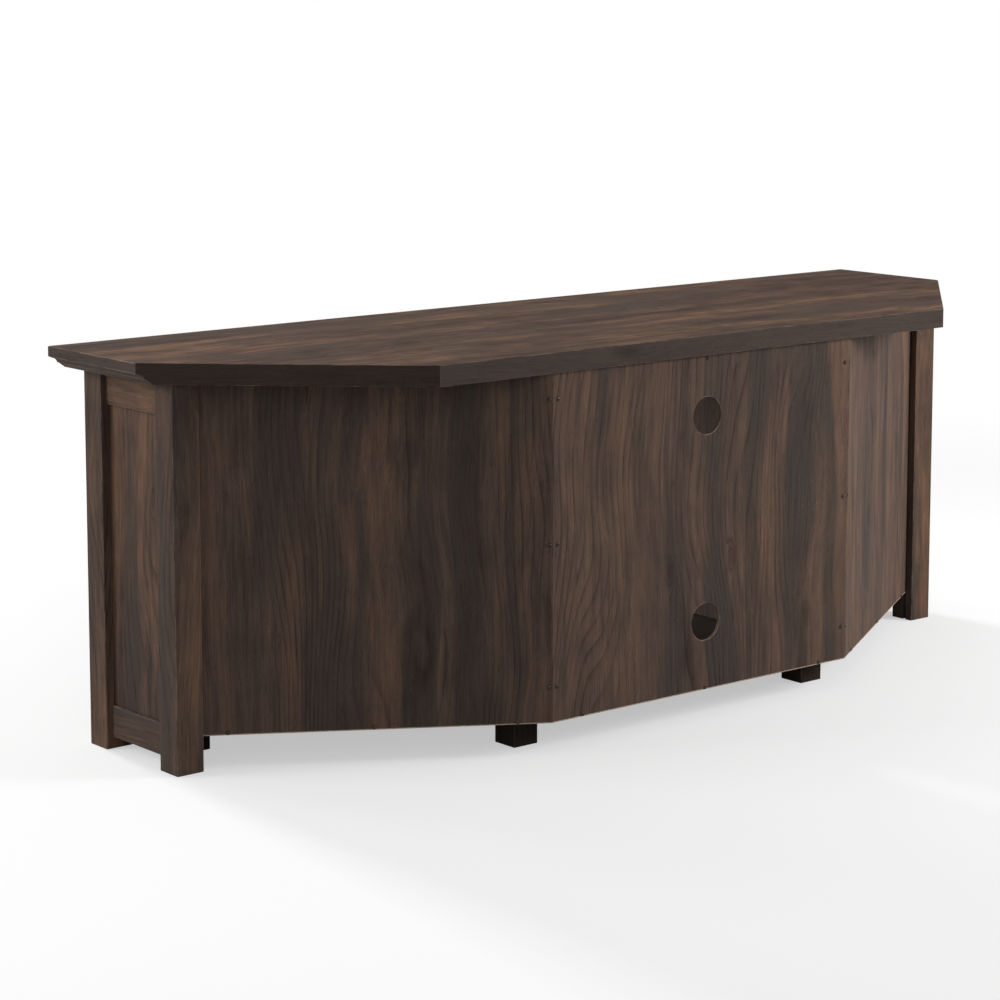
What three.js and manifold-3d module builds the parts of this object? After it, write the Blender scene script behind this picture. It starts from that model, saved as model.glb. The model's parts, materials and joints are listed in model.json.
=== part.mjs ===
// Corner television cabinet: a low six-sided case on square posts, with its rear corners cut off so
// that it stands in the corner of a room. Framed ends, an open centre bay, a framed door on each
// side bay and a thin back in three panels. Millimetres, +Z up, front towards -Y. The origin is on
// the floor under the middle of the top. Left and right are as seen from the front, so right is +X.

import * as THREE from 'three';
import { mergeVertices } from 'three/addons/utils/BufferGeometryUtils.js';
import Module from 'manifold-3d';

const wasm = await Module();
wasm.setup();

// Overall size
const topWidth = 1473;
const topDepth = 467;
const cabinetHeight = 528;
const topEndEdge = 209; // straight run of each end edge, up to the slanted rear corner
const topRearEdge = 918.5; // straight run of the rear edge, between the slanted corners
const slabThickness = 14;
const subTopThickness = 13;

// Clearances
const slip = 0.3; // round a tenon, a tongue or a panel in its groove, and at a mitre
const overrun = 5; // how far a cutting block passes the face that it opens

// Crown moulding under the slab's front and end edges: a lip, a cove, a step and a bevel
const mouldingWidth = 54;
const mouldingInset = 2.5;
const mouldingLip = 1;
const coveRadius = 6;
const coveSteps = 6;
const bevelStep = 1;

// Posts
const postSize = 40;
const endOverhang = 36; // from the slab's end edge to the posts' outer faces
const frontOverhang = 28.5; // from the slab's front edge to the posts' front faces
const rearPostSetback = 7; // from the slanted edge to the rear post's outer corner, along Y

// Rails and framed ends
const railThickness = 22;
const railSetback = 8; // rails stand this far behind the posts' faces
const topRailHeight = 45;
const lowerRailHeight = 42;
const jointThickness = 12; // end panels, and the stub tenons that share their grooves
const jointDepth = 8;

// Case boards
const underHeight = 43.5; // from the floor to the underside of the case
const boardThickness = 15;
const partitionSpacing = 533; // between the middles of the two partitions
const dadoDepth = 5;
const centreShelfHeight = 268; // undersides of the shelves, above the floor
const sideShelfHeight = 240;
const centreShelfCableGap = 24;
const sideShelfBackGap = 3;
const centreShelfSetback = 6; // behind the middle posts

// Back panels
const backThickness = 4;
const backSetback = 6; // inside the slab's rear edge
const foldShare = 0.38; // of a partition's thickness, from its middle out to the fold
const backAtPostSetback = 12.5; // where a slanted panel meets its rear post, inside the rear face
const backGrooveDepth = 6;
const cableHoleDiameter = 51;
const upperCableHoleDrop = 82; // from the underside of the top down to the upper hole's middle
const lowerCableHoleHeight = 137.5;
const cableHoleSides = 40;

// Short feet
const footSize = 40;
const rearFootInset = 79; // from the back's outer face to the middle of a rear foot
const endFootInset = 45.5; // from the posts' inner faces to the middle of an end foot

// Doors
const doorThickness = 18;
const doorStileWidth = 55;
const doorPanelThickness = 6;
const doorGrooveDepth = 10;
const doorGap = 2; // above, below and on the latch side
const hingeGap = 3;
const knobRadius = 14;
const knobLength = 24;
const knobSides = 32;
const knobProfileShares = [
  [0, 0], [0.54, 0], [0.54, 0.07], [0.4, 0.13], [0.32, 0.24], [0.32, 0.42], [0.46, 0.55],
  [0.82, 0.63], [0.97, 0.71], [1, 0.8], [0.93, 0.9], [0.7, 0.97], [0.36, 1], [0, 1],
]; // radius as a share of the knob's radius, height as a share of its length
const knobHeightShare = 0.5; // up the door

// Hinges
const hingeLength = 60;
const hingeInset = 55; // from the door's end to the nearer end of a hinge
const leafThickness = 1.2;
const leafDepth = 16;
const barrelRadius = 3.5;
const pinRadius = 1.8;
const barrelSides = 24;
const knuckleCount = 3;

// Magnetic catches
const catchWidth = 12;
const catchHeight = 44;
const catchSlotWidth = 5;
const catchSlotDepth = 1.5;
const catchInset = 60; // from the door's top down to the catch
const strikeThickness = 1;
const strikeWidth = 14;
const strikeHeight = 36;

// Colours
const woodColour = 0x4c3b32;
const topColour = 0x5d4a3f;
const panelColour = 0x463730;
const insideColour = 0x3b2f2a;
const metalColour = 0x35302c;
const steelColour = 0x8c8a86;

function surface(color, roughness, metalness) {
  return new THREE.MeshStandardMaterial({ color, roughness, metalness });
}

const topMaterial = surface(topColour, 0.5, 0);
const woodMaterial = surface(woodColour, 0.55, 0);
const panelMaterial = surface(panelColour, 0.55, 0);
const insideMaterial = surface(insideColour, 0.6, 0);
const metalMaterial = surface(metalColour, 0.4, 0.9);
const steelMaterial = surface(steelColour, 0.35, 1);

// Heights above the floor
const slabBottom = cabinetHeight - slabThickness;
const soffit = slabBottom - subTopThickness;
const caseFloor = underHeight + boardThickness;
const lowerRailBottom = caseFloor - lowerRailHeight;
const topRailBottom = soffit - topRailHeight;
const upperCableHoleHeight = soffit - upperCableHoleDrop;

// The six-sided top: its front edge, its end edges, and where the rear corners are cut off
const topEndX = topWidth / 2;
const topFrontY = -topDepth / 2;
const topRearY = topDepth / 2;
const slantStartY = topFrontY + topEndEdge;
const slantEndX = topRearEdge / 2;
const slantedEdgeRise = (topRearY - slantStartY) / (topEndX - slantEndX);

function slantedEdgeYAt(x) {
  return slantStartY + (topEndX - x) * slantedEdgeRise;
}

// Places of the posts and rails, on the right-hand side
const postOuterX = topEndX - endOverhang;
const postInnerX = postOuterX - postSize;
const postX = postOuterX - postSize / 2;
const frontPostFrontY = topFrontY + frontOverhang;
const frontPostRearY = frontPostFrontY + postSize;
const frontPostY = frontPostFrontY + postSize / 2;
const rearPostRearY = slantedEdgeYAt(postOuterX) - rearPostSetback;
const rearPostFrontY = rearPostRearY - postSize;
const rearPostY = rearPostRearY - postSize / 2;
const endRailX = postOuterX - railSetback - railThickness / 2;
const endRailInnerX = endRailX - railThickness / 2;
const endRailY = (frontPostRearY + rearPostFrontY) / 2;
const endRailLength = rearPostFrontY - frontPostRearY;
const frontRailFrontY = frontPostFrontY + railSetback;
const frontRailY = frontRailFrontY + railThickness / 2;
const frontRailRearY = frontRailFrontY + railThickness;

// Partitions, with the middle posts in front of them
const partitionX = partitionSpacing / 2;
const partitionInnerX = partitionX - boardThickness / 2;
const partitionOuterX = partitionX + boardThickness / 2;
const middlePostInnerX = partitionX - postSize / 2;
const middlePostOuterX = partitionX + postSize / 2;

// The back: a straight centre panel between two folds, and a slanted one from each fold to its post
const backY = topRearY - backSetback;
const foldX = partitionX + boardThickness * foldShare;
const backAtPostY = rearPostRearY - backAtPostSetback;
const slantAngle = Math.atan2(backY - backAtPostY, postInnerX - foldX);
const slantedPanelLength = (postInnerX + backGrooveDepth - foldX) / Math.cos(slantAngle);
const panelHeight = soffit - underHeight;

// Y of the line that lies this far inside the slanted panel's outer face
function slantedBackYAt(x, inside) {
  return backY - (x - foldX) * Math.tan(slantAngle) - inside / Math.cos(slantAngle);
}

// X where lines this far inside the centre and slanted panels meet
function foldXInside(inside) {
  return foldX - inside * Math.tan(slantAngle / 2);
}

const centreShelfFrontY = frontPostRearY + centreShelfSetback;
const centreShelfRearY = backY - backThickness - centreShelfCableGap;

// Short feet: under the partitions, and under the side bays beside the framed ends
const rearFootY = backY - rearFootInset;
const endFootX = postInnerX - endFootInset;
const endFootY = endRailY;

// Doors, hinge pins and catches, on the right-hand side
const doorHingeX = postInnerX - hingeGap;
const doorLatchX = middlePostOuterX + doorGap;
const doorWidth = doorHingeX - doorLatchX;
const doorBottom = caseFloor + doorGap;
const doorHeight = topRailBottom - doorGap - doorBottom;
const doorFrontY = frontRailFrontY;
const doorRearY = doorFrontY + doorThickness;
const pinX = postInnerX - barrelRadius - slip;
const pinY = doorFrontY - barrelRadius - slip;
const boreRadius = pinRadius + slip;
const doorEdgeX = doorHingeX - pinX; // the door's hinge edge, latch edge and front, from the pin
const doorFreeX = doorLatchX - pinX;
const doorFaceY = doorFrontY - pinY;

// Solids: closed three.js geometries that are cut and joined
function toSolid(geometry) {
  const bare = geometry.clone();
  bare.deleteAttribute('normal');
  bare.deleteAttribute('uv');
  const merged = mergeVertices(bare);
  const vertProperties = new Float32Array(merged.attributes.position.array);
  const triVerts = new Uint32Array(merged.index.array);
  return new wasm.Manifold(new wasm.Mesh({ numProp: 3, vertProperties, triVerts }));
}

function toGeometry(solid) {
  const mesh = solid.getMesh();
  const geometry = new THREE.BufferGeometry();
  geometry.setAttribute('position', new THREE.BufferAttribute(new Float32Array(mesh.vertProperties), 3));
  geometry.setIndex(new THREE.BufferAttribute(new Uint32Array(mesh.triVerts), 1));
  const faceted = geometry.toNonIndexed();
  faceted.computeVertexNormals();
  return faceted;
}

// A block between two opposite corners
function blockGeometry(low, high) {
  const size = high.map((value, axis) => value - low[axis]);
  const geometry = new THREE.BoxGeometry(size[0], size[1], size[2]);
  return geometry.translate((low[0] + high[0]) / 2, (low[1] + high[1]) / 2, (low[2] + high[2]) / 2);
}

function block(low, high) {
  return toSolid(blockGeometry(low, high));
}

// An upright prism on a plan outline, its underside at zero
function prismGeometry(outline, height) {
  const shape = new THREE.Shape(outline.map(([x, y]) => new THREE.Vector2(x, y)));
  return new THREE.ExtrudeGeometry(shape, { depth: height, bevelEnabled: false });
}

// An upright round bar about the origin, between two heights
function bar(radius, low, high) {
  const geometry = new THREE.CylinderGeometry(radius, radius, high - low, barrelSides);
  return toSolid(geometry.rotateX(Math.PI / 2).translate(0, 0, (low + high) / 2));
}

function cut(solid, cutters) {
  return cutters.reduce((left, cutter) => left.subtract(cutter), solid);
}

// The same piece for the left-hand side, with its faces still pointing out
function mirroredGeometry(geometry) {
  const flipped = geometry.index ? geometry.toNonIndexed() : geometry.clone();
  const position = flipped.attributes.position;
  const corner = new THREE.Vector3();
  const other = new THREE.Vector3();
  for (let first = 0; first < position.count; first += 3) {
    corner.fromBufferAttribute(position, first + 1);
    other.fromBufferAttribute(position, first + 2);
    position.setXYZ(first + 1, other.x, other.y, other.z);
    position.setXYZ(first + 2, corner.x, corner.y, corner.z);
  }
  for (let index = 0; index < position.count; index += 1) {
    position.setX(index, -position.getX(index));
  }
  flipped.computeVertexNormals();
  return flipped;
}

// A plan outline that is the same on both sides of the middle, from its right half
function symmetricOutline(half) {
  const left = half.map(([x, y]) => [-x, y]).reverse();
  return half.concat(left);
}

// Top: the slab, the build-up board under it and the mouldings that frame that board
const slabHalf = [[topEndX, topFrontY], [topEndX, slantStartY], [slantEndX, topRearY]];
const mouldingInnerX = topEndX - mouldingInset - mouldingWidth;
const mouldingInnerY = topFrontY + mouldingInset + mouldingWidth;

function slabGeometry() {
  return prismGeometry(symmetricOutline(slabHalf), slabThickness);
}

function subTopGeometry() {
  const half = [
    [mouldingInnerX, mouldingInnerY],
    [mouldingInnerX, slantedEdgeYAt(mouldingInnerX)],
    [slantEndX, topRearY],
  ];
  return prismGeometry(symmetricOutline(half), subTopThickness);
}

// The moulding's section: across from its lip, and up from the soffit
function mouldingSection() {
  const bevelSize = subTopThickness - mouldingLip - coveRadius;
  const bevelTop = coveRadius + bevelStep;
  const points = [[mouldingWidth, 0], [mouldingWidth, subTopThickness], [0, subTopThickness]];
  for (let step = 0; step <= coveSteps; step += 1) {
    const angle = (Math.PI / 2) * (1 - step / coveSteps);
    points.push([coveRadius * Math.cos(angle), bevelSize + coveRadius * Math.sin(angle)]);
  }
  points.push([bevelTop, bevelSize], [bevelTop + bevelSize, 0]);
  return points;
}

// A length of moulding along X, with its lip towards -Y and its underside at zero
function mouldingBar(length) {
  const geometry = prismGeometry(mouldingSection(), length);
  geometry.rotateX(Math.PI / 2).rotateZ(Math.PI / 2);
  return geometry.translate(-length / 2, 0, 0);
}

function frontMouldingGeometry() {
  const lipX = topEndX - mouldingInset;
  const lipY = topFrontY + mouldingInset;
  const whole = toSolid(mouldingBar(2 * lipX).translate(0, lipY, 0));
  const mitred = [[lipX - slip, lipY], [mouldingInnerX - slip, mouldingInnerY]];
  return toGeometry(whole.intersect(toSolid(prismGeometry(symmetricOutline(mitred), subTopThickness))));
}

function endMouldingGeometry() {
  const lipX = topEndX - mouldingInset;
  const lipY = topFrontY + mouldingInset;
  const length = slantedEdgeYAt(mouldingInnerX) - lipY;
  const turned = mouldingBar(length).rotateZ(Math.PI / 2).translate(lipX, lipY + length / 2, 0);
  const outline = [
    [lipX, lipY],
    [lipX, slantedEdgeYAt(lipX)],
    [mouldingInnerX, slantedEdgeYAt(mouldingInnerX)],
    [mouldingInnerX, mouldingInnerY],
  ];
  return toGeometry(toSolid(turned).intersect(toSolid(prismGeometry(outline, subTopThickness))));
}

// A rail along X with a stub tenon at each end, its underside at zero. Its panel groove runs out
// through the tenons, along the upper or the lower edge.
function railGeometry(length, height, thickness, tongue, depth, groove) {
  const half = length / 2;
  const reach = half + depth - slip;
  const body = block([-half, -thickness / 2, 0], [half, thickness / 2, height]);
  const tenons = block([-reach, -tongue / 2, 0], [reach, tongue / 2, height]);
  const rail = body.add(tenons);
  if (groove === 'none') {
    return toGeometry(rail);
  }
  const grooveHalf = tongue / 2 + slip;
  const cutterReach = reach + overrun;
  const low = groove === 'upper' ? height - depth : -overrun;
  const high = groove === 'upper' ? height + overrun : depth;
  const cutter = block([-cutterReach, -grooveHalf, low], [cutterReach, grooveHalf, high]);
  return toGeometry(rail.subtract(cutter));
}

// Posts: upright, about their own middle, with the grooves, mortises and dadoes of what they hold
const postHalf = postSize / 2;
const jointHalf = jointThickness / 2 + slip;
const railHeights = [[lowerRailBottom - slip, caseFloor + slip], [topRailBottom - slip, soffit + overrun]];

function railMortises(side) {
  const outside = side * (postHalf + overrun);
  const bottom = side * (postHalf - jointDepth);
  const middle = frontRailY - frontPostY;
  return railHeights.map(([low, high]) => block(
    [Math.min(outside, bottom), middle - jointHalf, low],
    [Math.max(outside, bottom), middle + jointHalf, high],
  ));
}

function endGroove(side) {
  const outside = side * (postHalf + overrun);
  const bottom = side * (postHalf - jointDepth);
  const middle = endRailX - postX;
  return block(
    [middle - jointHalf, Math.min(outside, bottom), lowerRailBottom - slip],
    [middle + jointHalf, Math.max(outside, bottom), soffit + overrun],
  );
}

function shelfDado(lowY, highY) {
  return block(
    [-postHalf - overrun, lowY, sideShelfHeight],
    [-postHalf + dadoDepth, highY, sideShelfHeight + boardThickness + slip],
  );
}

function frontPostGeometry() {
  const post = block([-postHalf, -postHalf, 0], [postHalf, postHalf, soffit]);
  const dado = shelfDado(frontRailRearY - slip - frontPostY, postHalf + overrun);
  return toGeometry(cut(post, [...railMortises(-1), endGroove(1), dado]));
}

function middlePostGeometry() {
  const post = block([-postHalf, -postHalf, 0], [postHalf, postHalf, soffit]);
  return toGeometry(cut(post, [...railMortises(-1), ...railMortises(1)]));
}

function rearPostGeometry() {
  const post = block([-postHalf, -postHalf, 0], [postHalf, postHalf, soffit]);
  const shelfEnd = slantedBackYAt(postInnerX, backThickness + sideShelfBackGap) + slip;
  const dado = shelfDado(-postHalf - overrun, shelfEnd - rearPostY);
  const grooveStart = slantedPanelLength - (backGrooveDepth + overrun) / Math.cos(slantAngle);
  const groove = blockGeometry(
    [grooveStart, -backThickness - slip, -overrun],
    [slantedPanelLength + slip, slip, soffit + overrun],
  );
  groove.rotateZ(-slantAngle).translate(foldX - postX, backY - rearPostY, 0);
  return toGeometry(cut(post, [endGroove(-1), dado, toSolid(groove)]));
}

function endPanelGeometry() {
  const reach = endRailLength / 2 + jointDepth - slip;
  const low = caseFloor - jointDepth + slip;
  const high = topRailBottom + jointDepth - slip;
  return blockGeometry([-jointThickness / 2, -reach, low], [jointThickness / 2, reach, high]);
}

// Bottom panel: fits between the rails, is notched round the six posts and follows the back
function bottomPanelGeometry() {
  const notchY = frontPostRearY + slip;
  const inside = backThickness + slip;
  const half = [
    [middlePostInnerX - slip, frontRailRearY],
    [middlePostInnerX - slip, notchY],
    [middlePostOuterX + slip, notchY],
    [middlePostOuterX + slip, frontRailRearY],
    [postInnerX - slip, frontRailRearY],
    [postInnerX - slip, notchY],
    [endRailInnerX, notchY],
    [endRailInnerX, rearPostFrontY - slip],
    [postInnerX - slip, rearPostFrontY - slip],
    [postInnerX - slip, slantedBackYAt(postInnerX - slip, inside)],
    [foldXInside(inside), backY - inside],
  ];
  return prismGeometry(symmetricOutline(half), boardThickness);
}

// Partition: its rear edge is bevelled where the back folds, and each face has a shelf's dado
function partitionGeometry() {
  const inside = backThickness + slip;
  const outline = [
    [partitionInnerX - partitionX, frontPostRearY],
    [partitionOuterX - partitionX, frontPostRearY],
    [partitionOuterX - partitionX, slantedBackYAt(partitionOuterX, inside)],
    [foldXInside(inside) - partitionX, backY - inside],
    [partitionInnerX - partitionX, backY - inside],
  ];
  const board = toSolid(prismGeometry(outline, soffit - caseFloor));
  const face = boardThickness / 2;
  const centreLow = centreShelfHeight - caseFloor;
  const sideLow = sideShelfHeight - caseFloor;
  const openings = [
    block(
      [-face - overrun, centreShelfFrontY - slip, centreLow],
      [-face + dadoDepth, centreShelfRearY + slip, centreLow + boardThickness + slip],
    ),
    block(
      [face - dadoDepth, frontPostRearY - overrun, sideLow],
      [face + overrun, backY, sideLow + boardThickness + slip],
    ),
  ];
  return toGeometry(cut(board, openings));
}

// Shelves, housed in the dadoes
function centreShelfGeometry() {
  const reach = partitionInnerX + dadoDepth - slip;
  return blockGeometry([-reach, centreShelfFrontY, 0], [reach, centreShelfRearY, boardThickness]);
}

function sideShelfGeometry() {
  const inside = backThickness + sideShelfBackGap;
  const innerX = partitionOuterX - dadoDepth + slip;
  const outerX = postInnerX + dadoDepth - slip;
  const outline = [
    [innerX, frontPostRearY + slip],
    [middlePostOuterX + slip, frontPostRearY + slip],
    [middlePostOuterX + slip, frontRailRearY],
    [outerX, frontRailRearY],
    [outerX, slantedBackYAt(outerX, inside)],
    [innerX, slantedBackYAt(innerX, inside)],
  ];
  return prismGeometry(outline, boardThickness);
}

// Back panels: mitred where they meet at the folds
function centreBackGeometry() {
  const mitreGap = slip / 2;
  const half = [[foldXInside(backThickness) - mitreGap, -backThickness], [foldX - mitreGap, 0]];
  const panel = toSolid(prismGeometry(symmetricOutline(half), panelHeight));
  const holeRadius = cableHoleDiameter / 2;
  const holeDepth = backThickness + 2 * overrun;
  const holes = [lowerCableHoleHeight, upperCableHoleHeight].map((height) => {
    const hole = new THREE.CylinderGeometry(holeRadius, holeRadius, holeDepth, cableHoleSides);
    return toSolid(hole.translate(0, -backThickness / 2, height - underHeight));
  });
  return toGeometry(cut(panel, holes));
}

// Along X from the fold's outer corner, with its outer face at y = 0
function slantedBackGeometry() {
  const mitreGap = slip / 2;
  const outline = [
    [mitreGap, 0],
    [mitreGap + backThickness * Math.tan(slantAngle / 2), -backThickness],
    [slantedPanelLength, -backThickness],
    [slantedPanelLength, 0],
  ];
  return prismGeometry(outline, panelHeight);
}

function footGeometry() {
  const half = footSize / 2;
  return blockGeometry([-half, -half, 0], [half, half, underHeight]);
}

// Door stile: upright, about its own middle, grooved on the edge that faces the door's panel
function doorStileGeometry(grooveSide) {
  const half = doorStileWidth / 2;
  const grooveWidth = doorPanelThickness / 2 + slip;
  const outside = grooveSide * (half + overrun);
  const bottom = grooveSide * (half - doorGrooveDepth);
  const stile = block([-half, -doorThickness / 2, 0], [half, doorThickness / 2, doorHeight]);
  const groove = block(
    [Math.min(outside, bottom), -grooveWidth, -overrun],
    [Math.max(outside, bottom), grooveWidth, doorHeight + overrun],
  );
  return toGeometry(stile.subtract(groove));
}

function doorPanelGeometry() {
  const width = doorWidth - 2 * doorStileWidth + 2 * (doorGrooveDepth - slip);
  const height = doorHeight - 2 * doorStileWidth + 2 * (doorGrooveDepth - slip);
  return new THREE.BoxGeometry(width, doorPanelThickness, height);
}

function knobGeometry() {
  const profile = knobProfileShares.map(([across, along]) => (
    new THREE.Vector2(across * knobRadius, along * knobLength)
  ));
  return new THREE.LatheGeometry(profile, knobSides);
}

// Butt hinge, about its pin and the middle of its length. The frame leaf lies on the post and
// holds the pin in its end knuckles. The door leaf lies on the door's edge and turns on the pin.
const knuckleLength = hingeLength / knuckleCount;
const leafFrontY = barrelRadius + slip;
const leafRearY = leafFrontY + leafDepth;
const frameLeafX = postInnerX - pinX;

function knuckleSpans(first) {
  const spans = [];
  for (let index = first; index < knuckleCount; index += 2) {
    const low = index * knuckleLength - hingeLength / 2;
    const lowGap = index === 0 ? 0 : slip / 2;
    const highGap = index === knuckleCount - 1 ? 0 : slip / 2;
    spans.push([low + lowGap, low + knuckleLength - highGap]);
  }
  return spans;
}

function hingeLeaf(lowX, highX, spans) {
  const plate = block([lowX, leafFrontY, -hingeLength / 2], [highX, leafRearY, hingeLength / 2]);
  return spans.reduce((leaf, [low, high]) => {
    const web = block([lowX, 0, low], [highX, leafFrontY + leafThickness, high]);
    return leaf.add(web).add(bar(barrelRadius, low, high));
  }, plate);
}

function frameLeafGeometry() {
  const leaf = hingeLeaf(frameLeafX - leafThickness, frameLeafX, knuckleSpans(0));
  return toGeometry(leaf.add(bar(pinRadius, -hingeLength / 2, hingeLength / 2)));
}

function doorLeafGeometry() {
  const leaf = hingeLeaf(doorEdgeX, doorEdgeX + leafThickness, knuckleSpans(1));
  return toGeometry(leaf.subtract(bar(boreRadius, -hingeLength, hingeLength)));
}

// Catch: a magnet case beside the middle post, with a slot for the magnet in its front face
const catchFrontY = doorRearY + strikeThickness + slip;
const catchHeightAboveFloor = doorBottom + doorHeight - catchInset - catchHeight;

function catchGeometry() {
  const depth = frontPostRearY - catchFrontY;
  const slotLow = (catchWidth - catchSlotWidth) / 2;
  const body = block([0, 0, 0], [catchWidth, depth, catchHeight]);
  const slot = block(
    [slotLow, -overrun, slotLow],
    [slotLow + catchSlotWidth, catchSlotDepth, catchHeight - slotLow],
  );
  return toGeometry(body.subtract(slot));
}

function strikeGeometry() {
  return blockGeometry([0, 0, 0], [strikeWidth, strikeThickness, strikeHeight]);
}

// Assembly
const cabinet = new THREE.Group();

function addPiece(parent, name, geometry, material, place) {
  const mesh = new THREE.Mesh(geometry, material);
  mesh.name = name;
  mesh.position.set(place[0], place[1], place[2]);
  parent.add(mesh);
  return mesh;
}

// A right-hand piece and its mirrored copy on the left. The turn is about Z.
function addPair(parents, name, geometry, material, place, turn = 0) {
  const right = addPiece(parents.right, `right_${name}`, geometry, material, place);
  right.rotation.z = turn;
  const opposite = [-place[0], place[1], place[2]];
  const left = addPiece(parents.left, `left_${name}`, mirroredGeometry(geometry), material, opposite);
  left.rotation.z = -turn;
}

const caseSides = { right: cabinet, left: cabinet };

// Top
addPiece(cabinet, 'top_slab', slabGeometry(), topMaterial, [0, 0, slabBottom]);
addPiece(cabinet, 'sub_top', subTopGeometry(), insideMaterial, [0, 0, soffit]);
addPiece(cabinet, 'front_crown_moulding', frontMouldingGeometry(), woodMaterial, [0, 0, soffit]);
addPair(caseSides, 'crown_moulding', endMouldingGeometry(), woodMaterial, [0, 0, soffit]);

// Posts
addPair(caseSides, 'front_post', frontPostGeometry(), woodMaterial, [postX, frontPostY, 0]);
addPair(caseSides, 'rear_post', rearPostGeometry(), woodMaterial, [postX, rearPostY, 0]);
addPair(caseSides, 'middle_post', middlePostGeometry(), woodMaterial, [partitionX, frontPostY, 0]);

function caseRail(length, height, groove) {
  return railGeometry(length, height, railThickness, jointThickness, jointDepth, groove);
}

// Framed ends, and the front frame with a top and a bottom rail across each bay
const sideRailLength = postInnerX - middlePostOuterX;
const sideRailX = (postInnerX + middlePostOuterX) / 2;
const railLevels = [
  ['top_rail', topRailHeight, topRailBottom, 'lower'],
  ['bottom_rail', lowerRailHeight, lowerRailBottom, 'upper'],
];
for (const [name, height, bottom, groove] of railLevels) {
  const endRail = caseRail(endRailLength, height, groove);
  const sideRail = caseRail(sideRailLength, height, 'none');
  const centreRail = caseRail(2 * middlePostInnerX, height, 'none');
  addPair(caseSides, `end_${name}`, endRail, woodMaterial, [endRailX, endRailY, bottom], Math.PI / 2);
  addPair(caseSides, `front_${name}`, sideRail, woodMaterial, [sideRailX, frontRailY, bottom]);
  addPiece(cabinet, `centre_front_${name}`, centreRail, woodMaterial, [0, frontRailY, bottom]);
}
addPair(caseSides, 'end_panel', endPanelGeometry(), panelMaterial, [endRailX, endRailY, 0]);

// Case boards
addPiece(cabinet, 'bottom_panel', bottomPanelGeometry(), insideMaterial, [0, 0, underHeight]);
addPair(caseSides, 'partition', partitionGeometry(), insideMaterial, [partitionX, 0, caseFloor]);
addPiece(cabinet, 'centre_shelf', centreShelfGeometry(), insideMaterial, [0, 0, centreShelfHeight]);
addPair(caseSides, 'side_shelf', sideShelfGeometry(), insideMaterial, [0, 0, sideShelfHeight]);

// Back
const slantedBack = slantedBackGeometry();
const foldPlace = [foldX, backY, underHeight];
addPiece(cabinet, 'centre_back_panel', centreBackGeometry(), panelMaterial, [0, backY, underHeight]);
addPair(caseSides, 'slanted_back_panel', slantedBack, panelMaterial, foldPlace, -slantAngle);

// Short feet
addPair(caseSides, 'rear_foot', footGeometry(), woodMaterial, [partitionX, rearFootY, 0]);
addPair(caseSides, 'end_foot', footGeometry(), woodMaterial, [endFootX, endFootY, 0]);

// Doors: each is a group about its hinge pin, so that the group's turn about Z swings the door
const doors = { right: new THREE.Group(), left: new THREE.Group() };
doors.right.position.set(pinX, pinY, 0);
doors.left.position.set(-pinX, pinY, 0);
cabinet.add(doors.right, doors.left);

const doorMiddleX = (doorEdgeX + doorFreeX) / 2;
const doorMiddleY = doorFaceY + doorThickness / 2;
const doorRailLength = doorWidth - 2 * doorStileWidth;
const hingeStileX = doorEdgeX - doorStileWidth / 2;
const latchStileX = doorFreeX + doorStileWidth / 2;
const doorTopRailBottom = doorBottom + doorHeight - doorStileWidth;

function doorRail(groove) {
  return railGeometry(
    doorRailLength, doorStileWidth, doorThickness, doorPanelThickness, doorGrooveDepth, groove,
  );
}

function addDoorWood(name, geometry, material, x, height) {
  addPair(doors, name, geometry, material, [x, doorMiddleY, height]);
}

addDoorWood('door_hinge_stile', doorStileGeometry(-1), woodMaterial, hingeStileX, doorBottom);
addDoorWood('door_latch_stile', doorStileGeometry(1), woodMaterial, latchStileX, doorBottom);
addDoorWood('door_top_rail', doorRail('lower'), woodMaterial, doorMiddleX, doorTopRailBottom);
addDoorWood('door_bottom_rail', doorRail('upper'), woodMaterial, doorMiddleX, doorBottom);
addDoorWood('door_panel', doorPanelGeometry(), panelMaterial, doorMiddleX, doorBottom + doorHeight / 2);

// Knobs, turned so that their heads point to the front
const knobPlace = [latchStileX, doorFaceY, doorBottom + doorHeight * knobHeightShare];
addPair(doors, 'door_knob', knobGeometry().rotateX(Math.PI), metalMaterial, knobPlace);

// Hinges
const hingeHeights = {
  lower: doorBottom + hingeInset + hingeLength / 2,
  upper: doorBottom + doorHeight - hingeInset - hingeLength / 2,
};
for (const [level, height] of Object.entries(hingeHeights)) {
  addPair(caseSides, `${level}_hinge_frame_leaf`, frameLeafGeometry(), metalMaterial, [pinX, pinY, height]);
  addPair(doors, `${level}_hinge_door_leaf`, doorLeafGeometry(), metalMaterial, [0, 0, height]);
}

// Catches on the middle posts, and the strike plates behind the doors that they hold
const catchPlace = [middlePostOuterX, catchFrontY, catchHeightAboveFloor];
const strikePlace = [
  middlePostOuterX - pinX + doorGap,
  doorRearY - pinY,
  catchHeightAboveFloor + (catchHeight - strikeHeight) / 2,
];
addPair(caseSides, 'door_catch', catchGeometry(), insideMaterial, catchPlace);
addPair(doors, 'door_strike', strikeGeometry(), steelMaterial, strikePlace);

export default cabinet;
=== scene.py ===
import json
import math
import random

import bmesh
import bpy
from mathutils import Matrix, Vector


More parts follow.
